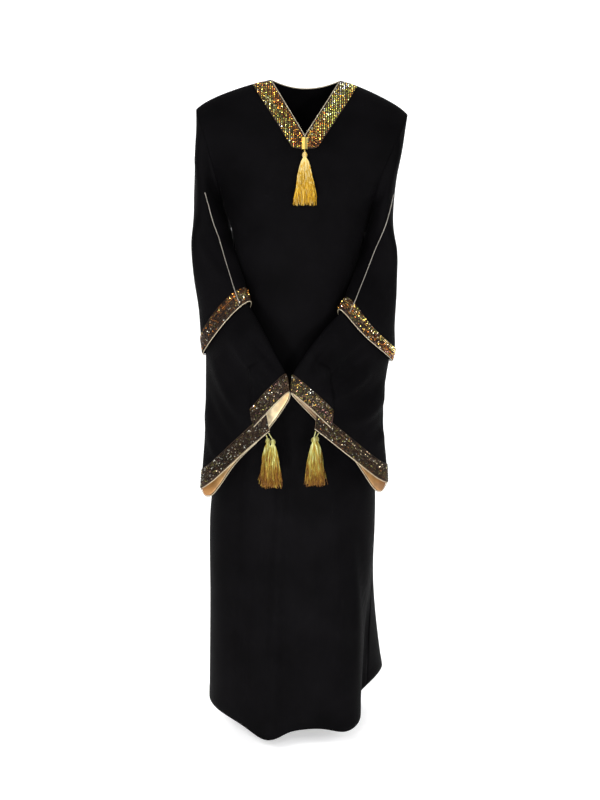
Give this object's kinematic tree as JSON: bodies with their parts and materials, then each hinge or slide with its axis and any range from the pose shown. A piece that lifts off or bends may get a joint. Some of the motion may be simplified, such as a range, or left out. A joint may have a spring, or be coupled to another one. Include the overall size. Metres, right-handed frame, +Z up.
{
  "type": "kaftan, worn form",
  "caption": "Full-length black kaftan with flared sleeves under elbow-length over-sleeves, beaded bands at neck, elbows and cuffs, gold piping and tassels, held open in its worn shape",
  "frame": {"origin": "where the garment hangs from the wearer's shoulders: between the shoulders, level with the base of the neck", "axes": "+Z up, -Y the front, +X the viewer's right (the wearer's left)"},
  "size_m": [0.4618, 0.3787, 1.4459],
  "materials": {
    "black_georgette": "matt woven crepe, slight sheen",
    "bead_band": "bands set with small faceted gold, copper and brown stones",
    "gold_piping": "metallic gold cord",
    "gold_satin": "pale gold satin",
    "gold_thread": "silky gold tassel thread"
  },
  "bodies": {
    "root": {"body_front": "black_georgette", "body_back": "black_georgette", "oversleeve_left": "black_georgette", "oversleeve_right": "black_georgette", "sleeve_left": "black_georgette", "sleeve_right": "black_georgette", "neck_trim_left": "bead_band", "neck_trim_right": "bead_band", "neck_trim_back": "bead_band", "neck_piping": "gold_piping", "neck_tab": "gold_piping", "oversleeve_trim_left": "bead_band", "oversleeve_trim_right": "bead_band", "oversleeve_piping_left": "gold_piping", "oversleeve_piping_right": "gold_piping", "slit_piping_left": "gold_piping", "slit_piping_right": "gold_piping", "cuff_trim_left": "bead_band", "cuff_trim_right": "bead_band", "cuff_facing_left": "gold_satin", "cuff_facing_right": "gold_satin", "cuff_piping_left": "gold_piping", "cuff_piping_right": "gold_piping", "tassel_neck": "gold_thread", "tassel_left_inner": "gold_thread", "tassel_left_outer": "gold_thread", "tassel_right_front": "gold_thread", "tassel_right_back": "gold_thread"}
  },
  "joints": []
}
